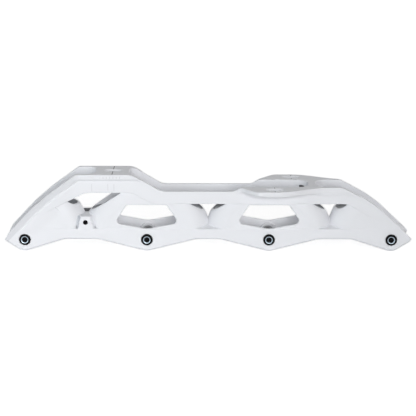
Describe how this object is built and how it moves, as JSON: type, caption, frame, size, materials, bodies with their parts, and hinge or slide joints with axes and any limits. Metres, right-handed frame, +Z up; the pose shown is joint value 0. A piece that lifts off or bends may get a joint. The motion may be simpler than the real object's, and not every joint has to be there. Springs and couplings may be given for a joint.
{
  "type": "inline skate frame",
  "caption": "White cast inline skate frame for large wheels: twin windowed side walls, wheel pockets, slotted heel deck, staggered slotted front ears, screw-in axles.",
  "frame": {"origin": "on the floor under the middle of the wheelbase, half way between the two side walls", "axes": "+X towards the toe along the wheel line, +Y to the skater's left, +Z up"},
  "size_m": [0.373, 0.072, 0.0725],
  "materials": {
    "casting": "white satin paint",
    "axle": "black oxide",
    "insert": "plain"
  },
  "bodies": {
    "frame": {"right_side_wall": "casting", "left_side_wall": "casting", "rear_web": "casting", "middle_web": "casting", "front_web": "casting", "brake_block": "casting", "heel_deck": "casting", "front_bridge": "casting", "right_mount_ear": "casting", "left_mount_ear": "casting", "axle_insert_1": "insert", "axle_insert_2": "insert", "axle_insert_3": "insert", "axle_insert_4": "insert"},
    "axle_1_body": {"axle_1": "axle"},
    "axle_2_body": {"axle_2": "axle"},
    "axle_3_body": {"axle_3": "axle"},
    "axle_4_body": {"axle_4": "axle"}
  },
  "joints": [
    {"name": "axle_1_draw", "type": "slide", "parent": "frame", "child": "axle_1_body", "axis": [0, -1, 0], "range_m": [0, 0.045]},
    {"name": "axle_2_draw", "type": "slide", "parent": "frame", "child": "axle_2_body", "axis": [0, -1, 0], "range_m": [0, 0.045]},
    {"name": "axle_3_draw", "type": "slide", "parent": "frame", "child": "axle_3_body", "axis": [0, -1, 0], "range_m": [0, 0.045]},
    {"name": "axle_4_draw", "type": "slide", "parent": "frame", "child": "axle_4_body", "axis": [0, -1, 0], "range_m": [0, 0.045]}
  ]
}
